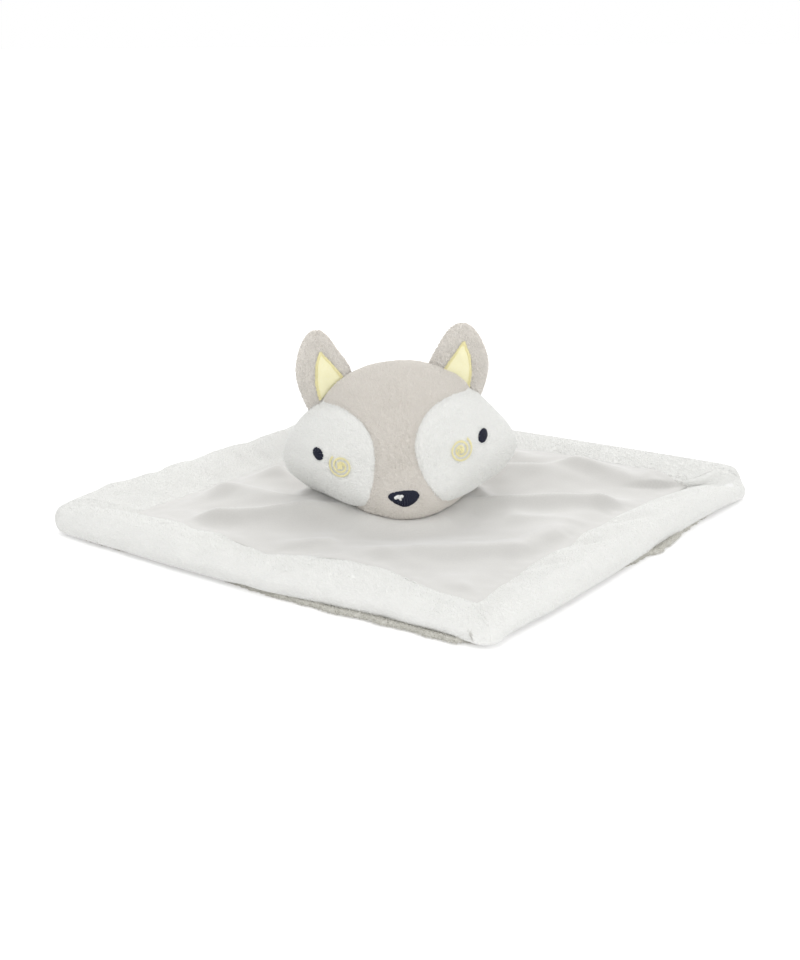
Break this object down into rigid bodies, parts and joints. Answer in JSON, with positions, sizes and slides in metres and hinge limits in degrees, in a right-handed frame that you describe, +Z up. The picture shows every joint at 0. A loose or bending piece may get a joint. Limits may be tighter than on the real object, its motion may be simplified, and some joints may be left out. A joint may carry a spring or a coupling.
{
  "type": "comfort blanket lovey",
  "caption": "Square plush comfort blanket with a padded border and a stuffed, embroidered animal head with sewn ears stitched to its middle.",
  "frame": {"origin": "on the surface it lies on, under the middle of the blanket", "axes": "+Z up out of the blanket; the blanket's corners point along X and Y; the animal faces -Y, with its ears towards +Z"},
  "size_m": [0.3472, 0.3472, 0.0955],
  "materials": {
    "white_plush": "short plush pile",
    "grey_plush": "short plush pile",
    "grey_velour": "smooth velour",
    "white_fibre": "loose polyester fibre",
    "yellow_satin": "satin",
    "yellow_thread": "embroidery thread",
    "navy_thread": "embroidery thread",
    "white_thread": "sewing thread"
  },
  "bodies": {
    "blanket": {"backing_panel": "white_plush", "centre_panel": "grey_velour", "border_front_left": "white_plush", "border_front_right": "white_plush", "border_back_left": "white_plush", "border_back_right": "white_plush", "border_wadding_front_left": "white_fibre", "border_wadding_front_right": "white_fibre", "border_wadding_back_left": "white_fibre", "border_wadding_back_right": "white_fibre", "border_seam_thread": "white_thread", "edge_seam_thread": "white_thread"},
    "neck": {"neck_seam_thread": "white_thread"},
    "head": {"head_filling": "white_fibre", "forehead_muzzle_panel": "grey_plush", "cheek_patch_left": "white_plush", "cheek_patch_right": "white_plush", "head_back_panel": "grey_plush", "head_base_panel": "grey_plush", "eye_left": "navy_thread", "eye_right": "navy_thread", "cheek_swirl_left": "yellow_thread", "cheek_swirl_right": "yellow_thread", "nose": "navy_thread", "nose_highlight": "white_thread"},
    "left_ear": {"ear_front_left": "grey_plush", "ear_back_left": "grey_plush", "ear_lining_left": "yellow_satin", "ear_stitching_left": "yellow_thread"},
    "right_ear": {"ear_front_right": "grey_plush", "ear_back_right": "grey_plush", "ear_lining_right": "yellow_satin", "ear_stitching_right": "yellow_thread"}
  },
  "joints": [
    {"name": "head_turn", "type": "hinge", "parent": "blanket", "child": "neck", "pos_m": [-0.00736, -0.00796, 0.0051], "axis": [0, 0, 1], "range_deg": [-20, 20], "stiffness_Nm_per_rad": 0.02},
    {"name": "head_nod", "type": "hinge", "parent": "neck", "child": "head", "pos_m": [-0.00318, 0.02175, 0.0116], "axis": [-0.9903, 0.1392, 0], "range_deg": [0, 35]},
    {"name": "ear_left_flex", "type": "hinge", "parent": "head", "child": "left_ear", "pos_m": [-0.04124, 0.00841, 0.0661], "axis": [0.7538, -0.1059, 0.6485], "range_deg": [-50, 40], "stiffness_Nm_per_rad": 0.01},
    {"name": "ear_right_flex", "type": "hinge", "parent": "head", "child": "right_ear", "pos_m": [0.02454, -0.00083, 0.07133], "axis": [0.845, -0.1188, -0.5215], "range_deg": [-50, 40], "stiffness_Nm_per_rad": 0.01}
  ]
}
